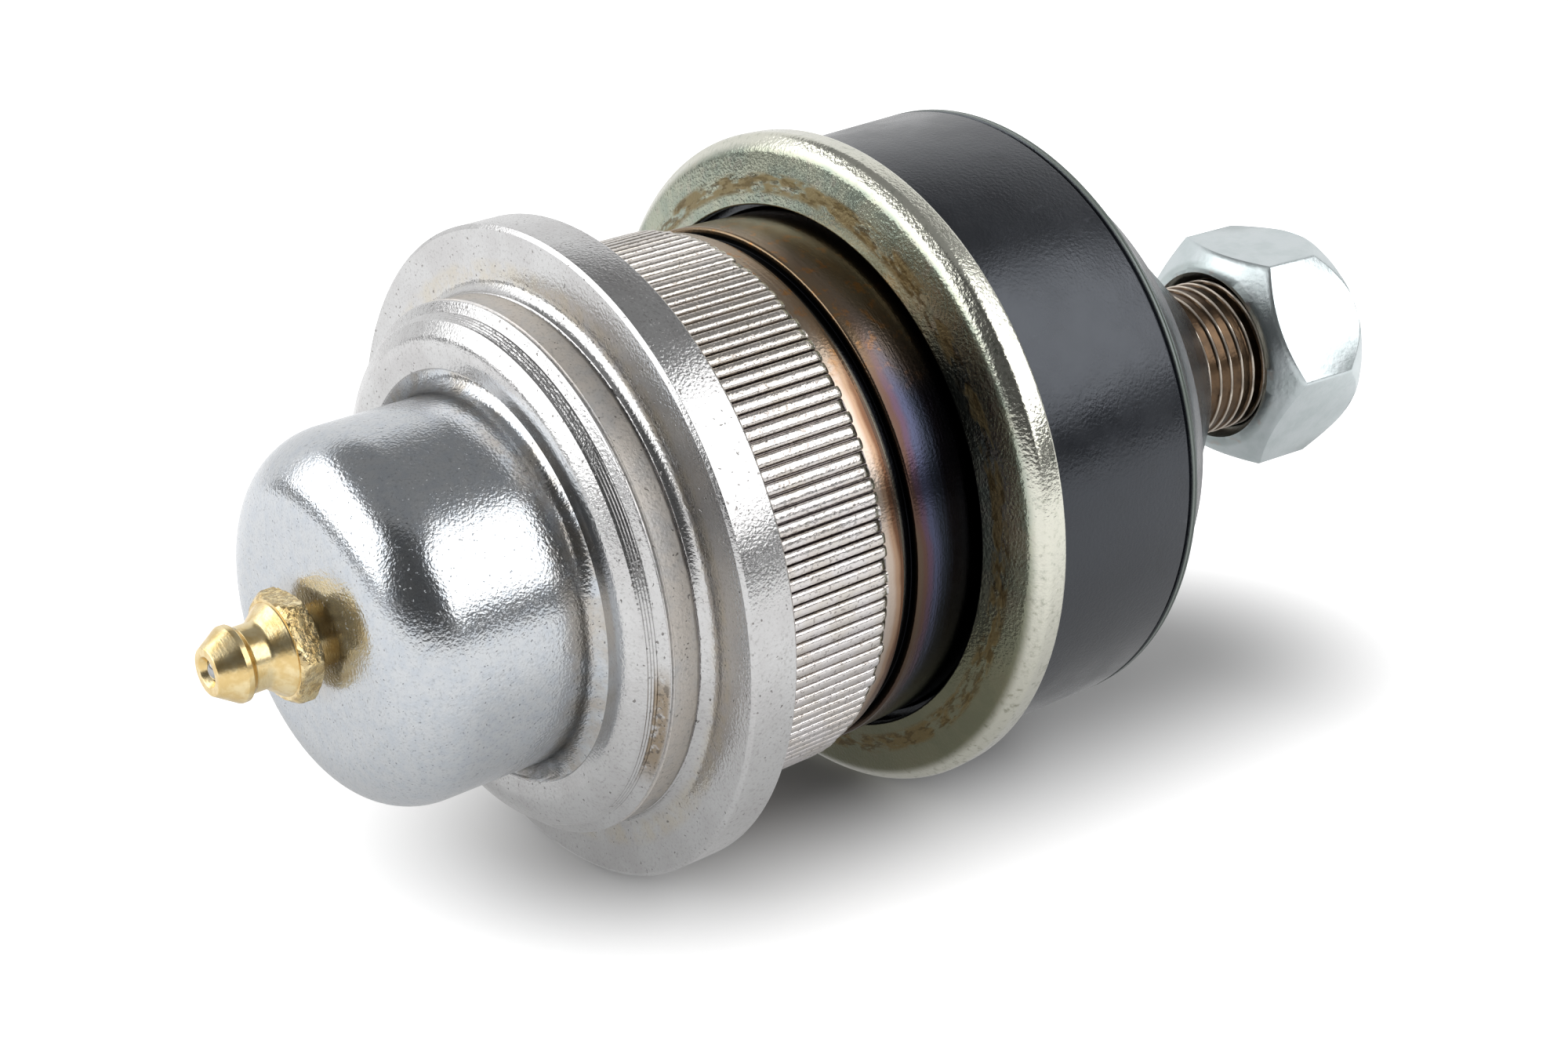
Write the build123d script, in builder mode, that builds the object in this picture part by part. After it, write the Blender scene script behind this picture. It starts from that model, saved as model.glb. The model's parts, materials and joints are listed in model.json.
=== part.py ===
from build123d import *
import os
from math import asin, cos, degrees, pi, radians, sin, sqrt

# Press-in suspension ball joint with a flange, a serrated body, a greased ball and a rubber boot.
# Millimetres. The origin is the centre of the ball. +X is the housing's axis, from the cap to the nut.
# +Z is up. The stud leans in the XY plane, as the joint lies when nothing holds the stud.

# ---- Driving dimensions ----------------------------------------------------------------------

# Housing, from the flange to the neck that carries the boot
flange_radius = 30.5
flange_thickness = 4.9
flange_front_chamfer = 1.1
flange_back_chamfer = 0.4
seat_to_ball = 13.1  # from the flange's seat face to the ball's centre
boss_radius = 24.6
bead_width = 1.3  # half-round bead where the boss meets the flange
bead_height = 1.0
bead_gutter = 0.15
serration_radius = 26.0
serration_depth = 0.6
serration_count = 132
collar_length = 0.5  # plain shoulder between the flange and the serrations
collar_height = 0.3
valley_share = 0.39  # of the pitch, at the crests
valley_root_share = 0.16
band_depth = 0.8  # the plain band's step below the crests
band_length = 3.4
groove_width = 1.5
groove_depth = 1.4
neck_step = 0.1  # the neck stands this much above the band
neck_taper = 0.3
neck_length = 10.1
neck_front_chamfer = 0.25
throat_half_angle = 58.0
throat_mouth_wall = 7.2

# Crimped lip that holds the cap
lip_wall = 1.5  # boss wall round the cap's rim
cap_rim_clearance = 0.1
lip_cap_gap = 0.34  # from the cap's base fillet to the lip's bore
lip_nose = 0.1
lip_crest_height = 1.3
lip_crest_in = 2.0  # from the lip's bore out to its crest
lip_edge_setback = 1.3
lip_edge_overhang = 0.15
lip_edge_land = 0.4
cap_seat_to_flange = 3.9  # from the flange's front face to the shoulder under the cap's rim

# Cap
cap_wall_radius = 17.06
cap_sheet = 1.6
cap_height = 20.27  # from the shoulder under the rim to the outside of the crown
cap_crown_radius = 6.7
cap_base_fillet = 1.8

# Ball, bearings and pressure plate
ball_radius = 15.5
ball_flat_radius = 5.0
shell_thickness = 2.5
running_gap = 0.06
throat_shell_start_angle = 50.0  # polar angles from the stud's side of the axis
throat_shell_end_angle = 84.0
thrust_shell_start_angle = 116.0
thrust_shell_end_angle = 172.0
plate_dish_angle = 135.0
plate_travel = 0.6
plate_stop_clearance = 0.05
plate_grease_radius = 1.5
plate_pilot_height = 1.6
spring_wire = 3.0
spring_mean_radius = 8.6
spring_turns = 4.5
spring_pilot_clearance = 0.25
coil_wire_sides = 8  # coil wire is drawn eight-sided, which keeps the coils light

# Stud
stud_lean_angle = 5.46  # degrees, towards -Y
stud_neck_radius = 8.7
stud_neck_fillet = 1.5
taper_start = 26.0  # distances along the stud, from the ball's centre
taper_big_radius = 9.4
taper_length = 24.0
taper_per_length = 0.1  # on diameter
stud_shoulder = 1.0
thread_radius = 8.0
thread_start = 51.0
nut_distance = 63.5
nut_height = 12.0
nut_across_flats = 22.1
nut_face_radius = 11.1
nut_near_chamfer = 2.4
nut_far_chamfer = 3.4
nut_countersink = 0.42
nut_thread_clearance = 0.05
nut_turn_angle = 2.35  # degrees that the flats are turned from level
stud_stands_out = 1.8
stud_end_chamfer = 1.2

# Boot ring and boot
ring_sheet = 1.2
ring_boot_gap = 1.0  # between the rolled edge and the boot's drum
ring_bore_clearance = 0.9
ring_front_from_ball = 11.8
ring_radius = 32.4
ring_dish = 1.1
ring_roll_radius = 1.9
ring_roll_length = 1.6
boot_draft = 0.4  # the drum grows by this towards its rim
boot_wall = 2.6
boot_base_thickness = 2.6
boot_rim_from_ball = 35.9
boot_rim_round = 0.5
boot_neck_clearance = 0.12
boot_mouth_distance = 53.3
boot_mouth_radius = 10.6
boot_stud_clearance = 0.3

# Grease fitting
fitting_stand_off = 0.95
fitting_shank_radius = 2.85
fitting_shank_length = 4.2
fitting_shank_chamfer = 0.4
fitting_thread_clearance = 0.02
fitting_across_flats = 8.9
fitting_hex_length = 2.2
fitting_hex_chamfer = 0.35
fitting_flare_length = 1.6
fitting_flare_radius = 4.2
fitting_neck_radius = 2.95
fitting_neck_length = 1.6
fitting_head_radius = 3.4
fitting_head_land = 0.5
fitting_head_back = 0.5
fitting_cone_length = 2.1
fitting_tip_radius = 2.1
fitting_mouth_radius = 1.4
fitting_mouth_depth = 0.65
fitting_seat_radius = 0.95
fitting_chamber_radius = 1.35
fitting_passage_radius = 0.8
fitting_spring_length = 3.2
check_ball_radius = 1.15
check_ball_gap = 0.03
check_spring_wire = 0.32
check_spring_turns = 4.0
check_spring_clearance = 0.12

# ---- Places and sizes that follow --------------------------------------------------------------

seat_x = -seat_to_ball
flange_front_x = seat_x - flange_thickness
shoulder_x = flange_front_x - cap_seat_to_flange
lip_under_x = shoulder_x - cap_sheet
crown_x = shoulder_x - cap_height
cap_rim_radius = boss_radius - lip_wall - cap_rim_clearance
lip_bore_radius = cap_wall_radius + cap_base_fillet + lip_cap_gap
lip_crest_radius = lip_bore_radius + lip_crest_in
band_radius = serration_radius - band_depth
groove_radius = band_radius - groove_depth
collar_radius = serration_radius + collar_height
serration_x = seat_x + collar_length
neck_radius = band_radius + neck_step
neck_end_radius = neck_radius - neck_taper
neck_x = band_length + groove_width
neck_end_x = neck_x + neck_length

shell_inner = ball_radius + running_gap
shell_outer = shell_inner + shell_thickness
cavity_radius = shell_outer + running_gap
throat_x = cavity_radius * cos(radians(throat_half_angle))
throat_radius = cavity_radius * sin(radians(throat_half_angle))
throat_mouth_radius = neck_end_radius - throat_mouth_wall

plate_back_x = shoulder_x + plate_travel + plate_stop_clearance
plate_radius = cavity_radius - running_gap
spring_end_x = crown_x + cap_sheet

stud_direction = Vector(cos(radians(stud_lean_angle)), -sin(radians(stud_lean_angle)), 0)
stud_axis = Axis((0, 0, 0), stud_direction)
stud_side = Plane(origin=(0, 0, 0), x_dir=stud_direction, z_dir=(0, 0, 1))
stud_level = Vector(sin(radians(stud_lean_angle)), cos(radians(stud_lean_angle)), 0)
stud_square = Plane(origin=(0, 0, 0), x_dir=stud_level, z_dir=stud_direction)
taper_end = taper_start + taper_length
taper_small_radius = taper_big_radius - taper_length * taper_per_length / 2
stud_end = nut_distance + nut_height + stud_stands_out

fitting_hex_x = crown_x - fitting_stand_off
fitting_flare_x = fitting_hex_x - fitting_hex_length
fitting_neck_x = fitting_flare_x - fitting_flare_length
fitting_head_x = fitting_neck_x - fitting_neck_length
fitting_land_x = fitting_head_x - fitting_head_back
fitting_cone_x = fitting_land_x - fitting_head_land
fitting_tip_x = fitting_cone_x - fitting_cone_length
fitting_end_x = crown_x + fitting_shank_length
check_seat_x = fitting_tip_x + fitting_mouth_depth
check_ball_x = check_seat_x + sqrt(check_ball_radius**2 - fitting_seat_radius**2) + check_ball_gap
check_spring_radius = fitting_chamber_radius - check_spring_wire / 2 - check_spring_clearance
check_spring_reach = check_ball_radius + check_spring_wire / 2
check_spring_x = check_ball_x + sqrt(check_spring_reach**2 - check_spring_radius**2)
check_ledge_x = check_spring_x + fitting_spring_length


def polar(radius, angle):
    """The point at this radius and at this angle in degrees from the axis, in a half section."""
    return (radius * cos(radians(angle)), radius * sin(radians(angle)))


def shell_sector(inner, outer, angle_from, angle_to):
    """Half section of a spherical shell between two polar angles."""
    middle = (angle_from + angle_to) / 2
    with BuildLine() as outline:
        Line(polar(inner, angle_from), polar(outer, angle_from))
        ThreePointArc(polar(outer, angle_from), polar(outer, middle), polar(outer, angle_to))
        Line(polar(outer, angle_to), polar(inner, angle_to))
        ThreePointArc(polar(inner, angle_to), polar(inner, middle), polar(inner, angle_from))
    make_face(outline.edges())


def ground_coil(mean_radius, wire, start_x, end_x, turns):
    """A coil spring along X, wound through both end planes and ground flush with them."""
    length = end_x - start_x
    with BuildLine() as centre_line:
        Helix(
            pitch=length / turns,
            height=length,
            radius=mean_radius,
            center=(start_x, 0, 0),
            direction=(1, 0, 0),
        )
    with BuildSketch(Plane(origin=centre_line.line @ 0, z_dir=centre_line.line % 0)) as section:
        RegularPolygon(wire / 2, coil_wire_sides)
    sweep(section.sketch, path=centre_line.line, is_frenet=True)
    with BuildSketch(Plane.YZ.offset(start_x)) as ground_between:
        Circle(mean_radius + wire)
    extrude(ground_between.sketch, amount=length, mode=Mode.INTERSECT)


# ---- Housing -----------------------------------------------------------------------------------

lip_bore_edge = (lip_under_x - lip_nose, lip_bore_radius)
lip_crest = (lip_under_x - lip_crest_height, lip_crest_radius)
lip_edge = (lip_under_x + lip_edge_setback, boss_radius + lip_edge_overhang)

bead_start = (flange_front_x - bead_width, boss_radius)
bead_crest = (flange_front_x - bead_width * cos(radians(45)), boss_radius + bead_height * sin(radians(45)))
bead_end = (flange_front_x - bead_gutter, boss_radius + bead_height)

with BuildPart() as housing:
    with BuildSketch(Plane.XY):
        with BuildLine():
            ThreePointArc(lip_bore_edge, lip_crest, lip_edge)
            Polyline(
                lip_edge,
                (lip_edge[0] + lip_edge_land, boss_radius),
                bead_start,
            )
            ThreePointArc(bead_start, bead_crest, bead_end)
            Polyline(
                bead_end,
                (flange_front_x, bead_end[1] + bead_gutter),
                (flange_front_x, flange_radius - flange_front_chamfer),
                (flange_front_x + flange_front_chamfer, flange_radius),
                (seat_x - flange_back_chamfer, flange_radius),
                (seat_x, flange_radius - flange_back_chamfer),
                (seat_x, collar_radius),
                (serration_x, collar_radius),
                (serration_x, serration_radius),
                (0, serration_radius),
                (0, band_radius),
                (band_length, band_radius),
                (band_length, groove_radius),
                (neck_x, groove_radius),
                (neck_x, neck_radius - neck_front_chamfer),
                (neck_x + neck_front_chamfer, neck_radius),
                (neck_end_x, neck_end_radius),
                (neck_end_x, throat_mouth_radius),
                (throat_x, throat_radius),
            )
            ThreePointArc(
                (throat_x, throat_radius),
                polar(cavity_radius, (throat_half_angle + 90) / 2),
                (0, cavity_radius),
            )
            Polyline(
                (0, cavity_radius),
                (shoulder_x, cavity_radius),
                (shoulder_x, cap_rim_radius + cap_rim_clearance),
                (lip_under_x, cap_rim_radius + cap_rim_clearance),
                (lip_under_x, lip_bore_radius),
                lip_bore_edge,
            )
        make_face()
    revolve(axis=Axis.X)

    # Straight serrations: valleys cut into the crest cylinder, open at the band
    pitch = 2 * pi * serration_radius / serration_count
    top_half = valley_share * pitch / 2
    root_half = valley_root_share * pitch / 2
    overshoot = serration_depth / 2
    outer_half = top_half + (top_half - root_half) * overshoot / serration_depth
    with BuildSketch(Plane.YZ.offset(serration_x)):
        with PolarLocations(serration_radius, serration_count):
            Polygon(
                (-serration_depth, -root_half),
                (overshoot, -outer_half),
                (overshoot, outer_half),
                (-serration_depth, root_half),
                align=None,
            )
    extrude(amount=-serration_x, mode=Mode.SUBTRACT)

housing.part.label = "housing"

# ---- Cover cap ---------------------------------------------------------------------------------

cap_inside_radius = cap_wall_radius - cap_sheet

with BuildPart() as cover_cap:
    with BuildSketch(Plane.XY):
        with BuildLine() as cap_outside:
            FilletPolyline(
                (crown_x, fitting_shank_radius + fitting_thread_clearance),
                (crown_x, cap_wall_radius),
                (lip_under_x, cap_wall_radius),
                (lip_under_x, cap_rim_radius),
                radius=(cap_crown_radius, cap_base_fillet),
            )
            Line((lip_under_x, cap_rim_radius), (shoulder_x, cap_rim_radius))
            FilletPolyline(
                (shoulder_x, cap_rim_radius),
                (shoulder_x, cap_inside_radius),
                (spring_end_x, cap_inside_radius),
                (spring_end_x, fitting_shank_radius + fitting_thread_clearance),
                radius=(cap_base_fillet, cap_crown_radius - cap_sheet),
            )
            Line(
                (spring_end_x, fitting_shank_radius + fitting_thread_clearance),
                (crown_x, fitting_shank_radius + fitting_thread_clearance),
            )
        make_face()
    revolve(axis=Axis.X)

cover_cap.part.label = "cover_cap"

# ---- Grease fitting ------------------------------------------------------------------------------

with BuildPart() as grease_fitting:
    # Hexagon, its front corners bevelled into the flare
    with BuildSketch(Plane.YZ.offset(fitting_hex_x)):
        RegularPolygon(radius=fitting_across_flats / 2, side_count=6, major_radius=False)
    extrude(amount=-fitting_hex_length)
    corner = fitting_across_flats / sqrt(3)
    with BuildSketch(Plane.XY):
        Polygon(
            (fitting_hex_x, 0),
            (fitting_hex_x, corner - fitting_hex_chamfer),
            (fitting_hex_x - fitting_hex_chamfer, corner),
            (fitting_flare_x + 2 * fitting_hex_chamfer, corner),
            (fitting_flare_x, corner - 2 * fitting_hex_chamfer),
            (fitting_flare_x, 0),
            align=None,
        )
    revolve(axis=Axis.X, mode=Mode.INTERSECT)
    # Shank, flare, neck and coned head
    with BuildSketch(Plane.XY):
        Polygon(
            (fitting_end_x, 0),
            (fitting_end_x, fitting_shank_radius - fitting_shank_chamfer),
            (fitting_end_x - fitting_shank_chamfer, fitting_shank_radius),
            (fitting_hex_x, fitting_shank_radius),
            (fitting_flare_x, fitting_flare_radius),
            (fitting_neck_x, fitting_neck_radius),
            (fitting_head_x, fitting_neck_radius),
            (fitting_land_x, fitting_head_radius),
            (fitting_cone_x, fitting_head_radius),
            (fitting_tip_x, fitting_tip_radius),
            (fitting_tip_x, 0),
            align=None,
        )
    revolve(axis=Axis.X)
    # Mouth, ball chamber and grease passage
    with BuildSketch(Plane.XY):
        Polygon(
            (fitting_tip_x, 0),
            (fitting_tip_x, fitting_mouth_radius),
            (check_seat_x, fitting_seat_radius),
            (check_seat_x, fitting_chamber_radius),
            (check_ledge_x, fitting_chamber_radius),
            (check_ledge_x, fitting_passage_radius),
            (fitting_end_x, fitting_passage_radius),
            (fitting_end_x, 0),
            align=None,
        )
    revolve(axis=Axis.X, mode=Mode.SUBTRACT)

grease_fitting.part.label = "grease_fitting"

with BuildPart() as fitting_check_ball:
    with Locations((check_ball_x, 0, 0)):
        Sphere(check_ball_radius)

fitting_check_ball.part.label = "fitting_check_ball"

with BuildPart() as fitting_spring:
    ground_coil(check_spring_radius, check_spring_wire, check_spring_x, check_ledge_x, check_spring_turns)

fitting_spring.part.label = "fitting_spring"

# ---- Bearings, pressure plate and preload spring --------------------------------------------------

with BuildPart() as throat_bearing:
    with BuildSketch(Plane.XY):
        shell_sector(shell_inner, shell_outer, throat_shell_start_angle, throat_shell_end_angle)
    revolve(axis=Axis.X)

throat_bearing.part.label = "throat_bearing"

with BuildPart() as thrust_bearing:
    with BuildSketch(Plane.XY):
        shell_sector(shell_inner, shell_outer, thrust_shell_start_angle, thrust_shell_end_angle)
    revolve(axis=Axis.X)

thrust_bearing.part.label = "thrust_bearing"

plate_rim = polar(cavity_radius, plate_dish_angle)
plate_hole_angle = 180 - degrees(asin(plate_grease_radius / cavity_radius))
plate_hole_edge = polar(cavity_radius, plate_hole_angle)
pilot_radius = spring_mean_radius - spring_wire / 2 - spring_pilot_clearance

with BuildPart() as pressure_plate:
    with BuildSketch(Plane.XY):
        with BuildLine():
            ThreePointArc(
                plate_rim,
                polar(cavity_radius, (plate_dish_angle + plate_hole_angle) / 2),
                plate_hole_edge,
            )
            Polyline(
                plate_hole_edge,
                (plate_back_x - plate_pilot_height, plate_grease_radius),
                (plate_back_x - plate_pilot_height, pilot_radius),
                (plate_back_x, pilot_radius),
                (plate_back_x, plate_radius),
                (plate_rim[0], plate_radius),
                plate_rim,
            )
        make_face()
    revolve(axis=Axis.X)

pressure_plate.part.label = "pressure_plate"

with BuildPart() as preload_spring:
    ground_coil(spring_mean_radius, spring_wire, spring_end_x, plate_back_x, spring_turns)

preload_spring.part.label = "preload_spring"

# ---- Ball stud and nut -----------------------------------------------------------------------------

ball_flat_x = -sqrt(ball_radius**2 - ball_flat_radius**2)
neck_meets_ball_x = sqrt(ball_radius**2 - stud_neck_radius**2)

with BuildPart() as ball_stud:
    with BuildSketch(stud_side):
        with BuildLine():
            Line((ball_flat_x, 0), (ball_flat_x, ball_flat_radius))
            ThreePointArc(
                (ball_flat_x, ball_flat_radius),
                (0, ball_radius),
                (neck_meets_ball_x, stud_neck_radius),
            )
            Polyline(
                (neck_meets_ball_x, stud_neck_radius),
                (taper_start - stud_shoulder, stud_neck_radius),
                (taper_start, taper_big_radius),
                (taper_end, taper_small_radius),
                (thread_start, thread_radius),
                (stud_end - stud_end_chamfer, thread_radius),
                (stud_end, thread_radius - stud_end_chamfer),
                (stud_end, 0),
                (ball_flat_x, 0),
            )
        make_face()
    revolve(axis=stud_axis)
    neck_corner = ball_stud.edges().filter_by(GeomType.CIRCLE).filter_by(
        lambda edge: abs(edge.radius - stud_neck_radius) < 1e-3
        and abs(edge.arc_center.length - neck_meets_ball_x) < 1e-2
    )
    fillet(neck_corner, radius=stud_neck_fillet)

ball_stud.part.label = "ball_stud"

nut_corner_radius = nut_across_flats / sqrt(3)
nut_bore_radius = thread_radius + nut_thread_clearance
nut_end = nut_distance + nut_height

with BuildPart() as stud_nut:
    with BuildSketch(stud_square.offset(nut_distance)):
        RegularPolygon(radius=nut_across_flats / 2, side_count=6, major_radius=False, rotation=nut_turn_angle)
    extrude(amount=nut_height)
    # Turned faces: conical bevels that cut the corners, and a countersunk bore
    with BuildSketch(stud_side):
        Polygon(
            (nut_distance, nut_bore_radius + nut_countersink),
            (nut_distance, nut_face_radius),
            (nut_distance + nut_near_chamfer, nut_corner_radius),
            (nut_end - nut_far_chamfer, nut_corner_radius),
            (nut_end, nut_face_radius),
            (nut_end, nut_bore_radius + nut_countersink),
            (nut_end - nut_countersink, nut_bore_radius),
            (nut_distance + nut_countersink, nut_bore_radius),
            align=None,
        )
    revolve(axis=stud_axis, mode=Mode.INTERSECT)

stud_nut.part.label = "stud_nut"

# ---- Boot ring and boot ----------------------------------------------------------------------------

ring_bore_radius = neck_end_radius + ring_bore_clearance
ring_roll_start = ring_radius - ring_roll_radius
ring_face_x = ring_front_from_ball + ring_dish
ring_edge_x = ring_face_x + ring_roll_radius + ring_roll_length

with BuildPart() as boot_ring:
    with BuildSketch(Plane.XY):
        with BuildLine():
            Line((ring_front_from_ball, ring_bore_radius), (ring_face_x, ring_roll_start))
            RadiusArc(
                (ring_face_x, ring_roll_start),
                (ring_face_x + ring_roll_radius, ring_radius),
                ring_roll_radius,
            )
            Polyline(
                (ring_face_x + ring_roll_radius, ring_radius),
                (ring_edge_x, ring_radius),
                (ring_edge_x, ring_radius - ring_sheet),
                (ring_face_x + ring_roll_radius, ring_radius - ring_sheet),
            )
            RadiusArc(
                (ring_face_x + ring_roll_radius, ring_radius - ring_sheet),
                (ring_face_x + ring_sheet, ring_roll_start),
                -(ring_roll_radius - ring_sheet),
            )
            Polyline(
                (ring_face_x + ring_sheet, ring_roll_start),
                (ring_front_from_ball + ring_sheet, ring_bore_radius),
                (ring_front_from_ball, ring_bore_radius),
            )
        make_face()
    revolve(axis=Axis.X)

boot_ring.part.label = "boot_ring"

boot_base_radius = ring_radius - ring_sheet - ring_boot_gap
boot_radius = boot_base_radius + boot_draft
boot_base_x = ring_face_x + ring_sheet
boot_base_back_x = boot_base_x + boot_base_thickness
boot_bore_radius = neck_end_radius + boot_neck_clearance
boot_inside_radius = boot_radius - boot_wall
boot_hole_radius = thread_radius + boot_stud_clearance

with BuildPart() as dust_boot:
    # Drum, with the base that hooks round the neck behind the ring
    with BuildSketch(Plane.XY):
        Polygon(
            (boot_base_x, boot_bore_radius),
            (boot_base_x, boot_base_radius),
            (boot_rim_from_ball - boot_rim_round, boot_radius),
            (boot_rim_from_ball, boot_radius - boot_rim_round),
            (boot_rim_from_ball, boot_inside_radius),
            (boot_base_back_x, boot_inside_radius),
            (boot_base_back_x, boot_bore_radius),
            align=None,
        )
    revolve(axis=Axis.X)
    # Cone from the rim to the mouth, whose centre follows the leaning stud
    with BuildSketch(Plane.YZ.offset(boot_rim_from_ball)):
        Circle(boot_radius - boot_rim_round)
    with BuildSketch(stud_square.offset(boot_mouth_distance)):
        Circle(boot_mouth_radius)
    loft(ruled=True)
    with BuildSketch(Plane.YZ.offset(boot_rim_from_ball)):
        Circle(boot_inside_radius)
    with BuildSketch(stud_square.offset(boot_mouth_distance)):
        Circle(boot_hole_radius)
    loft(ruled=True, mode=Mode.SUBTRACT)

dust_boot.part.label = "dust_boot"

# ---- Files -----------------------------------------------------------------------------------------

pieces = [
    housing,
    cover_cap,
    grease_fitting,
    fitting_check_ball,
    fitting_spring,
    throat_bearing,
    thrust_bearing,
    pressure_plate,
    preload_spring,
    ball_stud,
    stud_nut,
    boot_ring,
    dust_boot,
]

os.makedirs("parts", exist_ok=True)
for piece in pieces:
    export_step(piece.part, f"parts/{piece.part.label}.step")
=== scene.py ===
import bpy
import json
import math
import random
from mathutils import Matrix, Vector


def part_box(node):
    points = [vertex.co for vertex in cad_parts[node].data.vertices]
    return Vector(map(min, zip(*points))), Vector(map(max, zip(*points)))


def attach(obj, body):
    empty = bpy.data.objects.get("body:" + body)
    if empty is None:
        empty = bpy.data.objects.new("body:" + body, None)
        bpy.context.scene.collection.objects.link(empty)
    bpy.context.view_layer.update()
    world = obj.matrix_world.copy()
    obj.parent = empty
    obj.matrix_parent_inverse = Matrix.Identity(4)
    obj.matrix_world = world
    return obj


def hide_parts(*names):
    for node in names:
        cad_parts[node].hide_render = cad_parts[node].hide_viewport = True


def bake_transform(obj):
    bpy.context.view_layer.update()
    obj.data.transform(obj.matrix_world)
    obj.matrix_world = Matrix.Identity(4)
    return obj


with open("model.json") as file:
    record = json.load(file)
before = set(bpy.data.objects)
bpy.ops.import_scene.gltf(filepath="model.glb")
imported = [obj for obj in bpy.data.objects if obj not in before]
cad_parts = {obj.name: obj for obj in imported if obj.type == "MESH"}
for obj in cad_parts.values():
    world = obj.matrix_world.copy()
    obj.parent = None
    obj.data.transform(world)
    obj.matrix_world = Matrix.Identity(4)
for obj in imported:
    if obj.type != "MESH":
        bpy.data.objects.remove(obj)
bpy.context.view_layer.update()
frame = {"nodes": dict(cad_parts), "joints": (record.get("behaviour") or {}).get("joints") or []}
random.seed(7)
print("stage: frame loaded,", len(frame["nodes"]), "nodes")

# Shapes are worked out in millimetres, with the part's axis along X and the stud towards +X.
# The stud leans, so its own pieces are built along X and then turned.


def reach(node):
    # lowest and highest corner of a CAD node, in millimetres
    low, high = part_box(node)
    return Vector(low) * 1000, Vector(high) * 1000


spinJoint = [j for j in frame["joints"] if j["name"] == "stud_spin"][0]
studWay = Vector(spinJoint["axis"]).normalized()
studLean = math.atan2(studWay.y, studWay.x)
studTurn = Matrix.Rotation(studLean, 3, "Z")


def blendStep(t):
    t = min(max(t, 0.0), 1.0)
    return t * t * (3 - 2 * t)


def rounded(corners, steps=7):
    # corners are (x, radius) or (x, radius, fillet); a fillet becomes an arc
    path = []
    count = len(corners)
    for i, corner in enumerate(corners):
        here = Vector(corner[:2])
        fillet = corner[2] if len(corner) > 2 else 0
        if not fillet or i in (0, count - 1):
            path.append((here.x, here.y))
            continue
        back = Vector(corners[i - 1][:2]) - here
        onward = Vector(corners[i + 1][:2]) - here
        half = back.angle(onward) / 2
        cut = min(fillet / math.tan(half), 0.49 * back.length, 0.49 * onward.length)
        radius = cut * math.tan(half)
        inwards = (back.normalized() + onward.normalized()).normalized()
        middle = here + inwards * (radius / math.sin(half))
        start = here + back.normalized() * cut - middle
        end = here + onward.normalized() * cut - middle
        sweep = start.angle_signed(end)
        for k in range(steps + 1):
            spoke = Matrix.Rotation(-sweep * k / steps, 2) @ start
            path.append((middle.x + spoke.x, middle.y + spoke.y))
    return path


def arcThrough(start, middle, end, steps):
    # points on the circle through three points, start and end included
    (ax, ay), (bx, by), (cx, cy) = start, middle, end
    d = 2 * (ax * (by - cy) + bx * (cy - ay) + cx * (ay - by))
    a2, b2, c2 = ax * ax + ay * ay, bx * bx + by * by, cx * cx + cy * cy
    ux = (a2 * (by - cy) + b2 * (cy - ay) + c2 * (ay - by)) / d
    uy = (a2 * (cx - bx) + b2 * (ax - cx) + c2 * (bx - ax)) / d
    first, second, last = [Vector((x - ux, y - uy)) for x, y in (start, middle, end)]
    sweep = first.angle_signed(second) + second.angle_signed(last)
    spokes = [Matrix.Rotation(-sweep * k / steps, 2) @ first for k in range(steps + 1)]
    return [(ux + spoke.x, uy + spoke.y) for spoke in spokes]


def meshPiece(name, points, faces, sharp=32):
    # edges that bend by more than this many degrees are shaded sharp
    mesh = bpy.data.meshes.new(name)
    mesh.from_pydata([p * 0.001 for p in points], [], faces)
    mesh.validate()
    mesh.polygons.foreach_set("use_smooth", [True] * len(mesh.polygons))
    mesh.set_sharp_from_angle(angle=math.radians(sharp))
    mesh.update()
    piece = bpy.data.objects.new(name, mesh)
    bpy.context.scene.collection.objects.link(piece)
    return piece


def ringGrid(rows, closed):
    # faces between rows of points, each row a closed ring; a row of one point is a pole
    points, starts = [], []
    for row in rows:
        starts.append(len(points))
        points += row
    faces = []
    pairs = list(zip(range(len(rows)), range(1, len(rows))))
    if closed:
        pairs.append((len(rows) - 1, 0))
    for a, b in pairs:
        around = max(len(rows[a]), len(rows[b]))
        for k in range(around):
            n = (k + 1) % around
            quad = []
            for row, step in ((a, k), (a, n), (b, n), (b, k)):
                index = starts[row] + (step if len(rows[row]) > 1 else 0)
                if index not in quad:
                    quad.append(index)
            if len(quad) > 2:
                faces.append(quad)
    return points, faces


def aboutAxis(x, radius, angle):
    # the point at this distance along the axis, out from it and round it
    return Vector((x, radius * math.cos(angle), radius * math.sin(angle)))


def ringOf(x, radius, around):
    if radius < 1e-6:
        return [Vector((x, 0, 0))]
    return [aboutAxis(x, radius, math.tau * k / around) for k in range(around)]


def lathe(name, outline, around, closed=True):
    points, faces = ringGrid([ringOf(x, radius, around) for x, radius in outline], closed)
    return meshPiece(name, points, faces)


def place(piece, body, node, material):
    piece.data.materials.append(material)
    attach(piece, body)
    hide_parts(node)


def hexRadius(angle, acrossFlats, corner):
    # distance from the axis to a hexagon with rounded corners, at this angle from a corner
    away = (angle + math.pi / 6) % (math.pi / 3) - math.pi / 6  # 0 at a corner
    flat = acrossFlats / 2
    toFlat = flat / math.cos(math.pi / 6 - abs(away))
    tip = flat / math.cos(math.pi / 6)
    centre = tip - corner / math.cos(math.pi / 6)
    side = centre * math.sin(away)
    if abs(side) < corner:
        toArc = centre * math.cos(away) + math.sqrt(corner**2 - side**2)
        return min(toFlat, toArc)
    return toFlat


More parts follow.
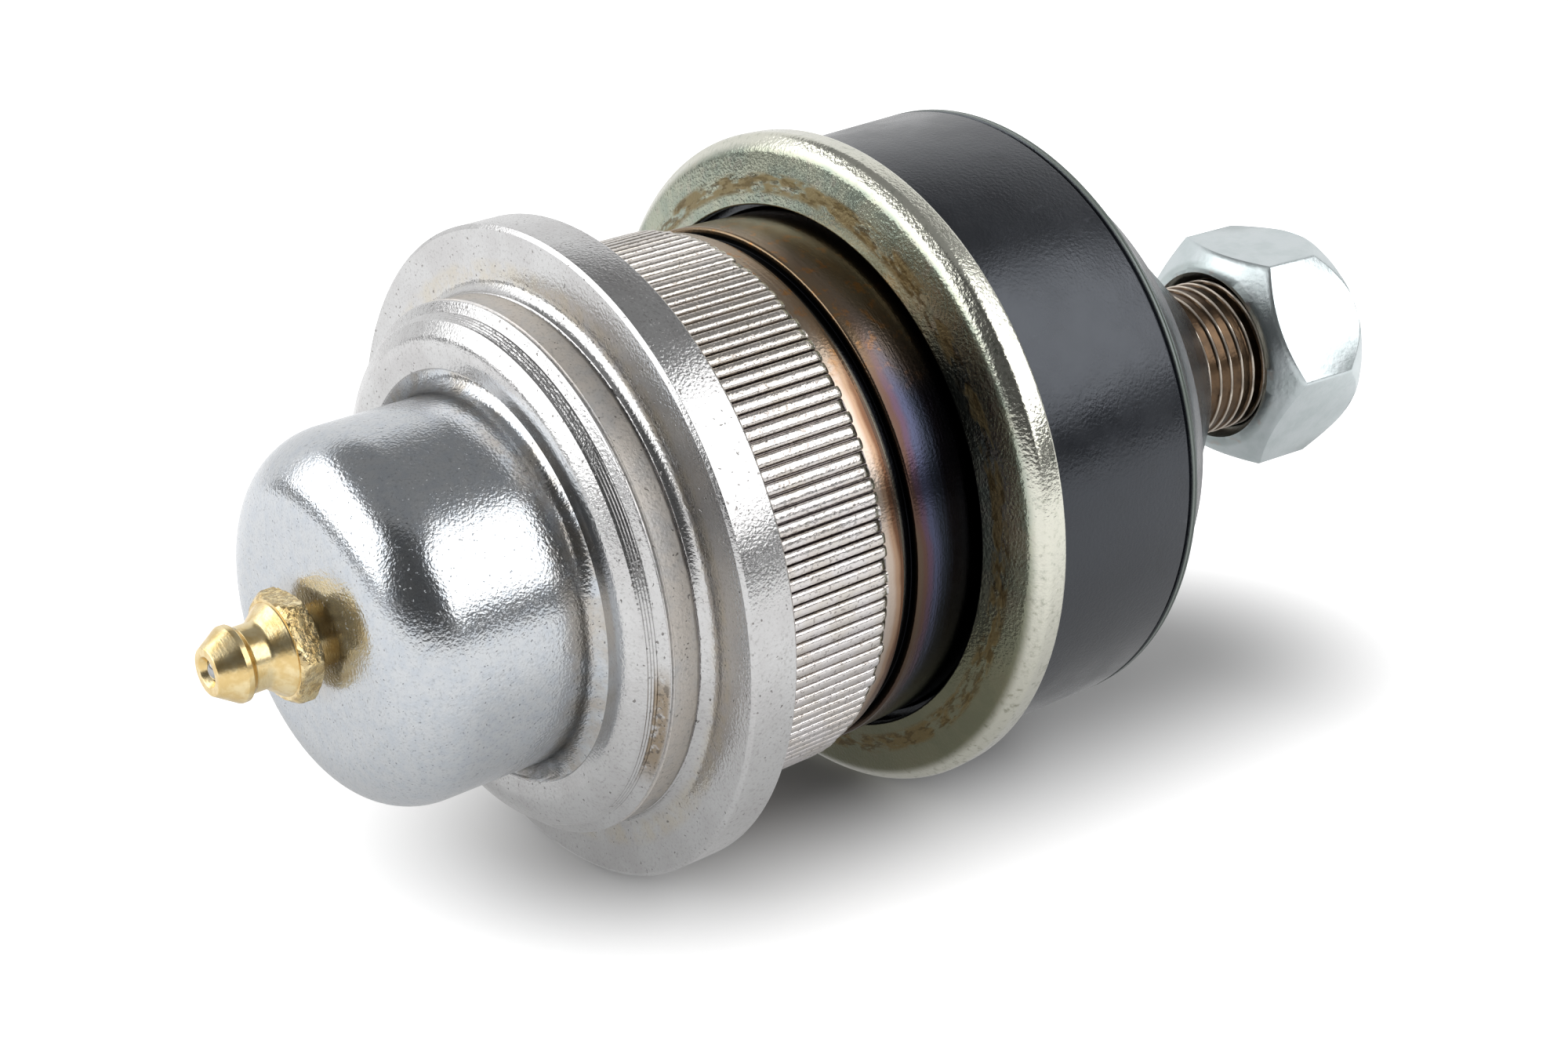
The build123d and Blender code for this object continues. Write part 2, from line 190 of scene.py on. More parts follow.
def hexAngles(perSide, acrossFlats, corner):
    # angles from a corner, close together round each corner
    tip = acrossFlats / 2 / math.cos(math.pi / 6)
    cornerHalf = math.atan2(corner / 2, tip) * 1.25
    angles = []
    for side in range(6):
        base = side * math.pi / 3
        angles += [base + cornerHalf * (k / 4 - 1) for k in range(9)]
        inner = math.pi / 3 - 2 * cornerHalf
        angles += [base + cornerHalf + inner * k / perSide for k in range(1, perSide)]
    return angles


def colour(hexText):
    # sRGB hex to linear
    parts = [int(hexText[i : i + 2], 16) / 255 for i in (1, 3, 5)]
    return [p / 12.92 if p <= 0.04045 else ((p + 0.055) / 1.055) ** 2.4 for p in parts] + [1.0]


def addNode(tree, kind, inputs=None, **settings):
    # an input is a plain value, a hex colour, a socket, or a node whose first live output is taken
    made = tree.nodes.new(kind)
    for key, value in settings.items():
        setattr(made, key, value)
    for key, value in (inputs or {}).items():
        live = [s for s in made.inputs if s.enabled]
        socket = live[key] if isinstance(key, int) else next(s for s in live if s.name == key)
        if isinstance(value, bpy.types.Node):
            value = next(s for s in value.outputs if s.enabled)
        if isinstance(value, bpy.types.NodeSocket):
            tree.links.new(value, socket)
        elif isinstance(value, str):
            socket.default_value = colour(value)
        else:
            socket.default_value = value
    return made


def newMaterial(name):
    made = bpy.data.materials.new(name)
    made.use_nodes = True
    made.node_tree.nodes.clear()
    return made, made.node_tree


def finishMaterial(material, spots, base, roughness, relief, metallic=1.0, more=None):
    # the relief's layers are (height, depth in millimetres), each laid over the one before;
    # a plain number in place of a height is an even grain of that size
    tree = material.node_tree
    inputs = {"Base Color": base, "Metallic": metallic, "Roughness": roughness, **(more or {})}
    for height, depth in relief:
        if isinstance(height, float):
            height = addNode(tree, "ShaderNodeTexNoise", {
                "Vector": spots["spot"], "Scale": 1 / height, "Detail": 2.0,
            })
        under = {"Normal": inputs["Normal"]} if "Normal" in inputs else {}
        inputs["Normal"] = addNode(tree, "ShaderNodeBump", {
            "Height": height, "Distance": depth / 1000, "Strength": 1.0, **under,
        })
    shader = addNode(tree, "ShaderNodeBsdfPrincipled", inputs)
    addNode(tree, "ShaderNodeOutputMaterial", {"Surface": shader})
    return material


def readSpots(tree, way=(1, 0, 0)):
    # the point in millimetres, its distance along the axis and out from it, and its direction off the axis
    own = addNode(tree, "ShaderNodeTexCoord").outputs["Object"]
    spot = addNode(tree, "ShaderNodeVectorMath", {0: own, "Scale": 1000.0}, operation="SCALE")
    along = addNode(tree, "ShaderNodeVectorMath", {0: spot, 1: way}, operation="DOT_PRODUCT")
    onAxis = addNode(tree, "ShaderNodeVectorMath", {0: way, "Scale": along}, operation="SCALE")
    off = addNode(tree, "ShaderNodeVectorMath", {0: spot, 1: onAxis}, operation="SUBTRACT")
    radius = addNode(tree, "ShaderNodeVectorMath", {0: off}, operation="LENGTH")
    side = addNode(tree, "ShaderNodeVectorMath", {0: off}, operation="NORMALIZE")
    sideParts = addNode(tree, "ShaderNodeSeparateXYZ", {0: side})
    return {
        "spot": spot, "along": along, "radius": radius, "side": side,
        "across": sideParts.outputs[1], "up": sideParts.outputs[2],
    }


smoothly = {"interpolation_type": "SMOOTHSTEP"}  # for Map Range


def mottle(tree, spots, size, low, high, detail=3.0):
    # patches of about this size in millimetres, 0 below low and 1 above high
    field = addNode(tree, "ShaderNodeTexNoise", {
        "Vector": spots["spot"], "Scale": 1 / size, "Detail": detail, "Roughness": 0.6,
    })
    return addNode(tree, "ShaderNodeMapRange", {
        "Value": field, "From Min": low, "From Max": high,
    }, **smoothly)


def overlap(tree, *shares):
    # 1 only where every share is 1
    meeting = shares[0]
    for share in shares[1:]:
        meeting = addNode(tree, "ShaderNodeMath", {0: meeting, 1: share}, operation="MULTIPLY")
    return meeting


def zone(tree, spots, **limits):
    # 1 where each measure is within its limits: from low to high, fading over soft, when there are
    # three; past the second, fading from the first, when there are two
    shares = []
    for measure, limit in limits.items():
        ramps = [limit]
        if len(limit) == 3:
            low, high, soft = limit
            ramps = [(low - soft, low + soft), (high + soft, high - soft)]
        for start, end in ramps:
            shares.append(addNode(tree, "ShaderNodeMapRange", {
                "Value": spots[measure], "From Min": start, "From Max": end,
            }, **smoothly))
    return overlap(tree, *shares)


def paint(tree, base, *coats):
    # each coat is a colour and its shares, and covers what lies below it where the shares overlap
    for tint, *shares in coats:
        base = addNode(tree, "ShaderNodeMix", {
            "Factor": overlap(tree, *shares), "A": base, "B": tint,
        }, data_type="RGBA")
    return base


def toolMarks(tree, spots, spacing, around=2.0):
    # rings left by a lathe tool: quick across the profile, slow round the axis
    across = addNode(tree, "ShaderNodeVectorMath", {0: spots["side"], "Scale": around}, operation="SCALE")
    sideParts = addNode(tree, "ShaderNodeSeparateXYZ", {0: across})
    step = addNode(tree, "ShaderNodeMath", {0: spots["along"], 1: 1 / spacing}, operation="MULTIPLY")
    lift = addNode(tree, "ShaderNodeMath", {0: spots["radius"], 1: 1 / spacing}, operation="MULTIPLY")
    spread = addNode(tree, "ShaderNodeCombineXYZ", {
        0: step, 1: sideParts.outputs[1], 2: sideParts.outputs[2],
    })
    return addNode(tree, "ShaderNodeTexNoise", {
        "Vector": spread, "W": lift, "Scale": 1.0, "Detail": 2.0, "Roughness": 0.6,
    }, noise_dimensions="4D")


# A mark's zone has limits along the axis and out from it (radius) in millimetres, and up and across,
# which are the direction off the axis, from -1 to 1. Pitches, grains and depths are in millimetres too.
# The grains are drawn at 0.2 to 0.5 mm, coarser than real ones of about a tenth, so that they show.

# Carbon steel, turned and then lightly blasted: pale grey, satin, with a sparkle where a reflection ends.
turnedSteel = dict(
    base="#c6c6c6", dull="#bebdbd", oil="#c6bca6", film="#d9d2ca", rust="#8f7e66", creviceShade="#4b3f3a",
    pit="#5c5651", fleck="#8f8d8b",
    roughness=0.17, unevenness=0.06, filmRoughness=0.34,
    grain=0.27, grainDepth=0.036, toolPitch=0.28, toolDepth=0.01, pitDepth=0.03,
    gutterZone=dict(along=(-18.8, -17.9, 0.15), radius=(25.3, 27.3, 0.5)),
    creviceShadeZone=dict(along=(-19.35, -18.95, 0.06), radius=(24.2, 24.62, 0.05)),
    wallFilmAndSheenZone=dict(along=(-21.9, -19.2, 0.2), radius=(24.0, 24.9, 0.1)),
    rustZone=dict(along=(-23.1, -22.2, 0.15), radius=(23.5, 25.1, 0.15), up=(-0.52, -0.10, 0.08),
                  across=(-1.2, -0.5, 0.1)),
    lipZone=dict(along=(-25.5, -22.0, 0.3)),
)


def makeTurnedSteel():
    m = turnedSteel
    material, tree = newMaterial("turnedSteel")
    spots = readSpots(tree)
    wall = zone(tree, spots, **m["wallFilmAndSheenZone"])
    rusty = zone(tree, spots, **m["rustZone"])
    pits = mottle(tree, spots, 0.42, 0.70, 0.76, 1.0)
    # old oil lies between the ridge and the flange, and on the lip's edge underneath
    base = paint(
        tree, m["base"],
        (m["dull"], mottle(tree, spots, 5.0, 0.35, 0.7)),
        (m["oil"], zone(tree, spots, **m["gutterZone"]), mottle(tree, spots, 1.6, 0.3, 0.65), 0.5),
        # the notch before the ridge is painted dark as its shade
        (m["creviceShade"], zone(tree, spots, **m["creviceShadeZone"]), 0.8),
        # the wall carries a film, and is painted paler than the film as a painted reflection
        (m["film"], wall, mottle(tree, spots, 3.0, 0.2, 0.6), 0.8),
        (m["rust"], rusty, mottle(tree, spots, 1.3, 0.30, 0.46), 0.85),
        (m["pit"], rusty, mottle(tree, spots, 0.45, 0.55, 0.62), 0.7),
        (m["pit"], pits, 0.7),
        (m["fleck"], mottle(tree, spots, 0.3, 0.5, 0.8, 2.0), 0.55),
    )
    polish = addNode(tree, "ShaderNodeMapRange", {
        "Value": mottle(tree, spots, 3.0, 0.3, 0.7),
        "To Min": m["roughness"], "To Max": m["roughness"] + m["unevenness"],
    })
    roughness = addNode(tree, "ShaderNodeMath", {
        0: overlap(tree, wall, m["filmRoughness"]), 1: polish,
    }, operation="ADD")
    lathed = overlap(tree, toolMarks(tree, spots, m["toolPitch"]), zone(tree, spots, **m["lipZone"]))
    return finishMaterial(material, spots, base, roughness, [
        (m["grain"], m["grainDepth"]), (lathed, m["toolDepth"]), (pits, -m["pitDepth"]),
    ])


# The same steel where the teeth were rolled: crests burnished, valleys painted dark as shade.
rolledSteel = dict(
    base="#d0cccb", warm="#c0b8ad", valleyShade="#463d3c", speck="#5d524d",
    roughness=0.2, grain=0.26, grainDepth=0.035, speckDepth=0.015,
    upperZone=dict(up=(0.55, 2.0, 0.35)),
    valleyShadeZone=dict(radius=(25.8, 25.45)),
)


def makeRolledSteel():
    m = rolledSteel
    material, tree = newMaterial("rolledSteel")
    spots = readSpots(tree)
    specks = mottle(tree, spots, 0.36, 0.62, 0.70, 1.0)
    base = paint(
        tree, m["base"],
        (m["warm"], mottle(tree, spots, 2.5, 0.35, 0.65), 0.5),
        (m["warm"], zone(tree, spots, **m["upperZone"]), 0.55),
        (m["speck"], specks, 0.45),
        # the lower half of each tooth is painted dark as shade in the valleys
        (m["valleyShade"], zone(tree, spots, **m["valleyShadeZone"]), 0.85),
    )
    return finishMaterial(material, spots, base, m["roughness"], [
        (m["grain"], m["grainDepth"]), (specks, -m["speckDepth"]),
    ])


# Steel heated by induction after turning: temper colours run from straw through purple and blue to
# black scale, which is partly painted shadow of the ring; the top is painted lighter, as light falls there.
temperedSteel = dict(
    # (along the axis, colour)
    stops=((0.9, "#b4aaa2"), (1.7, "#b3a497"), (2.4, "#9a7f69"), (2.9, "#674a38"), (3.6, "#4d3f36"),
           # from about 8 mm on, the near-black is partly scale and partly painted shadow of the ring
           (5.0, "#514439"), (5.6, "#523e37"), (6.2, "#503f4c"), (7.0, "#43465a"), (8.2, "#2d313c"),
           (9.6, "#1d1b21"), (15.0, "#151418")),
    topLight="#8d7a62", fleck="#a8743c", grooveFloor="#5f5b52", groove="#121316",
    roughness=0.24, grain=0.28, grainDepth=0.02, toolPitch=0.35, toolDepth=0.02,
    waver=9.0,  # size of the patches that bend the colours' edges, by up to a millimetre either way
    topLightZone=dict(up=(0.72, 2.0, 0.2)),
    grooveZone=dict(radius=(24.95, 24.7)),
    shadowZone=dict(along=(3.9, 4.3)),
)


def makeTemperedSteel():
    m = temperedSteel
    material, tree = newMaterial("temperedSteel")
    spots = readSpots(tree)
    waver = addNode(tree, "ShaderNodeTexNoise", {
        "Vector": spots["spot"], "Scale": 1 / m["waver"], "Detail": 3.0,
    })
    shift = addNode(tree, "ShaderNodeMath", {0: waver, 1: 2.0, 2: -1.0}, operation="MULTIPLY_ADD")
    spots["warped"] = addNode(tree, "ShaderNodeMath", {0: spots["along"], 1: shift}, operation="ADD")
    base = m["stops"][0][1]
    for (start, _), (stop, tint) in zip(m["stops"], m["stops"][1:]):
        base = paint(tree, base, (tint, zone(tree, spots, warped=(start, stop))))
    topLitShare = zone(tree, spots, **m["topLightZone"])
    groove = paint(tree, m["grooveFloor"], (m["groove"], zone(tree, spots, **m["shadowZone"])))
    base = paint(
        tree, base,
        # the top is painted lighter and browner as light falls there; the orange flecks lie only within it
        (m["topLight"], topLitShare, 0.8),
        (m["fleck"], topLitShare, mottle(tree, spots, 1.3, 0.55, 0.68), 0.7),
        (groove, zone(tree, spots, **m["grooveZone"])),
    )
    return finishMaterial(material, spots, base, m["roughness"], [
        (m["grain"], m["grainDepth"]), (toolMarks(tree, spots, m["toolPitch"]), m["toolDepth"]),
    ])


# Mild steel sheet, deep drawn and zinc plated: bright, cool, with a fine orange peel from the drawing.
platedSheet = dict(
    base="#c3c6c9", cool="#bbc0c6", warm="#aea598", pit="#5e6166", fleck="#8b8e92",
    roughness=0.19, peel=0.28, peelDepth=0.032, fine=0.2, fineDepth=0.01, pitDepth=0.02,
    skirtZone=dict(along=(-27.0, -20.0, 1.2)),
    brassReflectionZone=dict(radius=(0.0, 5.2, 1.2), along=(-45.0, -41.6, 0.3)),
)


def makePlatedSheet():
    m = platedSheet
    material, tree = newMaterial("platedSheet")
    spots = readSpots(tree)
    pits = mottle(tree, spots, 0.30, 0.69, 0.77, 1.0)
    # a warm ring round the fitting is painted as the brass's reflection
    base = paint(
        tree, m["base"],
        (m["cool"], mottle(tree, spots, 1.1, 0.35, 0.7)),
        (m["warm"], zone(tree, spots, **m["skirtZone"]), mottle(tree, spots, 3.0, 0.35, 0.65), 0.7),
        (m["pit"], pits, 0.6),
        (m["fleck"], mottle(tree, spots, 0.26, 0.5, 0.8, 2.0), 0.5),
        (m["warm"], zone(tree, spots, **m["brassReflectionZone"]), 0.45),
    )
    peel = addNode(tree, "ShaderNodeTexNoise", {
        "Vector": spots["spot"], "Scale": 1 / m["peel"], "Detail": 1.5,
    })
    fine = addNode(tree, "ShaderNodeTexNoise", {
        "Vector": spots["spot"], "Scale": 1 / m["fine"], "Detail": 1.0,
    })
    return finishMaterial(material, spots, base, m["roughness"], [
        (peel, m["peelDepth"]), (fine, m["fineDepth"]), (pits, -m["pitDepth"]),
    ])


# Free-cutting brass, turned from hexagon bar: warm yellow, with drawing scores along the flats.
turnedBrass = dict(
    base="#e9d6a8", deep="#dbbf85", stain="#7a5a2c",
    roughness=0.27, score=0.5, scoreDepth=0.03, toolPitch=0.2, toolDepth=0.01, grain=0.25, grainDepth=0.008,
    skinZone=dict(along=(-45.4, -43.0, 0.15), radius=(4.2, 4.45)),  # the bar's own skin is left here
)


def makeTurnedBrass():
    m = turnedBrass
    material, tree = newMaterial("turnedBrass")
    spots = readSpots(tree)
    rough = overlap(tree, zone(tree, spots, **m["skinZone"]), mottle(tree, spots, m["score"], 0.42, 0.62))
    base = paint(
        tree, m["base"],
        (m["deep"], mottle(tree, spots, 1.2, 0.35, 0.65)),
        (m["stain"], rough, 0.4),
    )
    lathed = toolMarks(tree, spots, m["toolPitch"])
    return finishMaterial(material, spots, base, m["roughness"], [
        (rough, -m["scoreDepth"]), (lathed, m["toolDepth"]), (m["grain"], m["grainDepth"]),
    ])


# Pressed steel with a yellow chromate over zinc: olive straw with green and pink interference, scuffed
# brown by the bore.
yellowZinc = dict(
    base="#9fa392", green="#8b9487", pink="#a0968d", rollHighlight="#dad9cd", scuff="#7b6a45", dark="#57492e",
    low="#6d6a50",
    roughness=0.18, wornRoughness=0.2, grain=0.32, grainDepth=0.045, wornDepth=0.004,
    lowShadeZone=dict(up=(-1.5, -0.15, 0.35)),
    rollHighlightZone=dict(radius=(31.3, 33.0, 0.5)),
    wornZone=dict(radius=(27.1, 28.9, 0.3)),  # handling has rubbed a band, a little out from the bore
    rubPitch=1.1, rubsRound=9.0, scratchPitch=0.45, scratchesRound=18.0,
)


def makeYellowZinc():
    m = yellowZinc
    material, tree = newMaterial("yellowZinc")
    spots = readSpots(tree)
    spots["rubs"] = toolMarks(tree, spots, m["rubPitch"], m["rubsRound"])
    spots["scratches"] = toolMarks(tree, spots, m["scratchPitch"], m["scratchesRound"])
    worn = zone(tree, spots, **m["wornZone"], rubs=(0.40, 0.52))
    base = paint(
        tree, m["base"],
        (m["green"], mottle(tree, spots, 4.0, 0.38, 0.62)),
        (m["pink"], mottle(tree, spots, 1.5, 0.5, 0.7), 0.35),
        # the lower side is painted darker as shade
        (m["low"], zone(tree, spots, **m["lowShadeZone"]), 0.75),
        # the rolled edge is painted pale as its highlight
        (m["rollHighlight"], zone(tree, spots, **m["rollHighlightZone"]), mottle(tree, spots, 0.7, 0.1, 0.5), 0.85),
        (m["scuff"], worn, 0.85),
        (m["dark"], zone(tree, spots, **m["wornZone"], scratches=(0.5, 0.6)), 0.7),
    )
    roughness = addNode(tree, "ShaderNodeMapRange", {
        "Value": worn, "To Min": m["roughness"], "To Max": m["roughness"] + m["wornRoughness"],
    })
    return finishMaterial(material, spots, base, roughness, [
        (m["grain"], m["grainDepth"]), (worn, -m["wornDepth"]),
    ])


# Chloroprene rubber, compression moulded: black with a soft grey bloom, rubbed and smudged by handling.
mouldedRubber = dict(
    base="#0b0c10", bloom="#111318", smudge="#050507", scuff="#3c3c42", ridgeGlint="#868f86", sheen="#eaf2ff",
    roughness=0.24, smooth=0.03, uneven=0.06, ior=1.6, grain=0.34, grainDepth=0.022, smudgeDepth=0.002,
    rubsPerMm=1.4, rubStretch=(0.25, 1.2, 0.35),  # rubs run lengthwise, so they are drawn out along the axis
    ridgeGlintZone=dict(along=(34.46, 35.0, 0.06), radius=(30.42, 31.0, 0.06)),  # the ridges at the parting line, painted pale as their highlight
)


def makeMouldedRubber():
    m = mouldedRubber
    material, tree = newMaterial("mouldedRubber")
    spots = readSpots(tree)
    smudges = overlap(tree, mottle(tree, spots, 4.5, 0.56, 0.66, 4.0), mottle(tree, spots, 1.2, 0.4, 0.6))
    drawn = addNode(tree, "ShaderNodeVectorMath", {
        0: spots["spot"], 1: m["rubStretch"],
    }, operation="MULTIPLY")
    spots["streaks"] = addNode(tree, "ShaderNodeTexNoise", {
        "Vector": drawn, "Scale": m["rubsPerMm"], "Detail": 3.0, "Roughness": 0.7,
    })
    base = paint(
        tree, m["base"],
        (m["bloom"], mottle(tree, spots, 9.0, 0.35, 0.65)),
        (m["smudge"], smudges, 0.8),
        (m["scuff"], zone(tree, spots, streaks=(0.66, 0.74)), 0.45),
        # the parting line's ridges are painted pale as a highlight
        (m["ridgeGlint"], zone(tree, spots, **m["ridgeGlintZone"]), 0.7),
    )
    roughness = addNode(tree, "ShaderNodeMapRange", {
        "Value": mottle(tree, spots, 6.0, 0.3, 0.7),
        "To Min": m["roughness"] - m["smooth"], "To Max": m["roughness"] + m["uneven"],
    })
    return finishMaterial(material, spots, base, roughness, [
        (m["grain"], m["grainDepth"]), (smudges, -m["smudgeDepth"]),
    ], metallic=0.0, more={"IOR": m["ior"], "Specular Tint": m["sheen"]})


# Alloy steel forging with a rolled thread, copper coloured where it was hardened: the crests are worn bright
# and painted paler as a highlight.
rolledThread = dict(
    crest="#ddd3c6", root="#604d3b", dark="#473a2e",
    roughness=0.28, crestRoughness=0.22, grain=0.3, grainDepth=0.02,
    crestWearAndHighlightZone=dict(radius=(7.82, 7.94)),
)


def makeRolledThread():
    m = rolledThread
    material, tree = newMaterial("rolledThread")
    spots = readSpots(tree, tuple(studWay))
    crest = zone(tree, spots, **m["crestWearAndHighlightZone"])
    base = paint(
        tree, m["root"],
        (m["dark"], mottle(tree, spots, 2.0, 0.35, 0.7)),
        # the crests are worn, and painted paler still as a highlight
        (m["crest"], crest),
    )
    roughness = addNode(tree, "ShaderNodeMapRange", {
        "Value": crest, "To Min": m["roughness"], "To Max": m["roughness"] + m["crestRoughness"],
    })
    return finishMaterial(material, spots, base, roughness, [
        (m["grain"], m["grainDepth"]),
    ])


# Cold-formed steel nut, bright zinc with a blue passivate: cool pale grey, duller and greener on the
# bearing face.
blueZinc = dict(
    base="#ced6d8", dull="#c3cdce", face="#a9b4b3", warm="#b9aea8",
    roughness=0.32, grain=0.5, grainDepth=0.02,
    faceZone=dict(along=(60.0, 63.9, 0.15)),
)


def makeBlueZinc():
    m = blueZinc
    material, tree = newMaterial("blueZinc")
    spots = readSpots(tree, tuple(studWay))
    face = zone(tree, spots, **m["faceZone"])
    base = paint(
        tree, m["base"],
        (m["dull"], mottle(tree, spots, 2.5, 0.35, 0.7)),
        (m["face"], face, 0.6),
        (m["warm"], face, mottle(tree, spots, 1.5, 0.55, 0.7), 0.6),
    )
    return finishMaterial(material, spots, base, m["roughness"], [
        (m["grain"], m["grainDepth"]),
    ])


# Ground and hardened parts inside, under a film of grease: dark, smooth steel.
hardenedSteel = dict(base="#b8babd", film="#8f8f8c", roughness=0.18, grindPitch=0.3, grindDepth=0.003)


def makeHardenedSteel():
    m = hardenedSteel
    material, tree = newMaterial("hardenedSteel")
    spots = readSpots(tree)
    base = paint(tree, m["base"], (m["film"], mottle(tree, spots, 2.5, 0.35, 0.65)))
    return finishMaterial(material, spots, base, m["roughness"], [
        (toolMarks(tree, spots, m["grindPitch"]), m["grindDepth"]),
    ])


# Hard-drawn spring wire, phosphated: dull dark grey.
springWire = dict(base="#7d7f83", dark="#4b4c50", roughness=0.35, grain=0.2, grainDepth=0.004)


def makeSpringWire():
    m = springWire
    material, tree = newMaterial("springWire")
    spots = readSpots(tree)
    base = paint(tree, m["base"], (m["dark"], mottle(tree, spots, 1.2, 0.35, 0.65)))
    return finishMaterial(material, spots, base, m["roughness"], [
        (m["grain"], m["grainDepth"]),
    ])


housingLow, housingHigh = reach("housing")
capLow, capHigh = reach("cover_cap")
ringLow, ringHigh = reach("boot_ring")
fittingLow, fittingHigh = reach("grease_fitting")


def shifted(x, profile, way=1):
    # a profile's (x, radius, fillet) corners, moved to start from x
    return [(x + way * past, *rest) for past, *rest in profile]


housing = dict(
    seatX=-13.1,
    flangeThickness=4.9,
    frontChamfer=(0.28, 0.38),  # along the axis, and down the face
    backChamfer=0.4,
    bossRadius=24.6,
    crestRadius=26.0,
    bandRadius=25.2,
    bandEndX=2.95,
    grooveEndX=4.9,
    grooveRadius=24.3,
    grooveStep=((0.15, 24.9, 0.05), (0.45, 25.0, 0.05), (0.65, 24.3, 0.1)),  # from the band's end
    neckStartX=-0.6,
    neckRadius=25.3,
    neckEndRadius=25.0,
    mouthRadius=17.8,
    throat=((9.6, 15.37, 0.1), (4.0, 17.6), (-0.6, 18.1)),
    collarLength=0.5,  # a plain collar stands between the flange and the teeth
    collarRise=0.3,
    lipSetBack=5.5,
    lipBore=19.05,
    capBore=23.1,
    capSeat=1.6,
    # the rolled lip, from its end: a shallow inner slope and a round crest
    crest=((0.42, 19.05), (0.30, 19.17, 0.1), (0.0, 21.0, 3.0), (0.20, 21.95, 2.0), (0.98, 23.32, 0.2),
           (1.06, 23.35)),
    # rings cut by the rolling tool, a flank and a shelf to each
    scoreCount=8, scorePitch=0.13, scoreRise=0.043, scoreDepth=0.065,
    # a second, outer crest, from the lip's end, and the crevice outside it
    step=((2.16, 23.72, 0.08), (2.55, 24.54, 0.25), (2.68, 24.76, 0.05), (2.78, 24.42, 0.04),
          (2.95, 24.47, 0.03), (3.10, 24.76, 0.05), (3.22, 24.6, 0.05)),
    # a ridge thrown up beside the lip, which dies away into the flange's face; a notch runs before it
    beadWidth=0.85, beadHeight=1.3, beadHollow=0.34,
    notch=((-0.3, 0.0, 0.05), (-0.12, -0.2, 0.04), (0.0, 0.0)),  # from the ridge's foot
    edge=0.08,
    around=384,
)


def buildHousing():
    h = housing
    flange = housingHigh.y
    lip = housingLow.x
    front = h["seatX"] - h["flangeThickness"]
    lipUnder = front - h["lipSetBack"]
    boss, edge = h["bossRadius"], h["edge"]
    collarEnd = h["seatX"] + h["collarLength"]
    crest = shifted(lip, h["crest"])
    scoreX, scoreRadius = crest[-1]
    scores = [
        (scoreX + h["scorePitch"] * k, scoreRadius + h["scoreRise"] * k + h["scoreDepth"] * (k % 2))
        for k in range(1, h["scoreCount"] + 1)
    ]
    foot = front - h["beadWidth"]
    notch = [(foot + past, boss + rise, *fillet) for past, rise, *fillet in h["notch"]]
    hollow = (front - h["beadHollow"] * h["beadWidth"], boss + h["beadHollow"] * h["beadHeight"])
    bead = arcThrough((foot, boss), hollow, (front, boss + h["beadHeight"]), 20)
    flangeAndBore = rounded([
        (front, boss + h["beadHeight"]),
        (front, flange - h["frontChamfer"][1], 0.05),
        (front + h["frontChamfer"][0], flange, 0.05),
        (h["seatX"] - h["backChamfer"], flange, edge),
        (h["seatX"], flange - h["backChamfer"], edge),
        (h["seatX"], h["crestRadius"] + h["collarRise"], 0.1),
        (collarEnd, h["crestRadius"] + h["collarRise"], 0.1),
        (collarEnd, h["bandRadius"]),
        (collarEnd, h["capBore"]),
        (lipUnder + h["capSeat"], h["capBore"]),
        (lipUnder, h["capBore"]),
        (lipUnder, h["lipBore"]),
    ])
    outline = [(lipUnder, h["lipBore"]), crest[0]] + rounded(crest, 14) + scores[:-1]
    outline += rounded([scores[-1], *shifted(lip, h["step"]), *notch], 8) + bead + flangeAndBore
    place(lathe("housingShell", outline, h["around"]), "socket", "housing", makeTurnedSteel())
    neck = rounded([
        (h["neckStartX"], h["bandRadius"]),
        (h["bandEndX"], h["bandRadius"], edge),
        *shifted(h["bandEndX"], h["grooveStep"]),
        (h["grooveEndX"], h["grooveRadius"], 0.1),
        (h["grooveEndX"], h["neckRadius"], 0.3),
        (housingHigh.x, h["neckEndRadius"], 0.3),
        (housingHigh.x, h["mouthRadius"], 0.3),
        *h["throat"],
    ])
    place(lathe("housingNeck", neck, h["around"]), "socket", "housing", makeTemperedSteel())


teeth = dict(
    count=132,
    depth=0.6,
    endX=0.9,
    # one tooth: share of the pitch from the crest's middle, and share of the depth below the crest
    section=((-0.44, 0.62), (-0.40, 0.34), (-0.34, 0.17), (-0.26, 0.07), (-0.16, 0.02), (0.0, 0.0),
             (0.16, 0.02), (0.26, 0.07), (0.34, 0.17), (0.40, 0.34), (0.44, 0.62),
             (0.475, 0.95), (0.525, 0.95)),
    startRows=(0.0, 0.25, 1.0),
    rows=(-10.0, -8.4, -6.8, -5.2, -3.6, -2.0),
    endRows=(1.5, 0.9, 0.5, 0.25, 0.1, 0.0),
    startLength=0.5, startWear=0.05,
    endLength=0.6, endWear=0.22, endSpread=0.10,
    tornFrom=0.72, tornWear=0.25,  # ends with a draw above this are torn as well
    footDrop=0.05,  # below the plain band
)


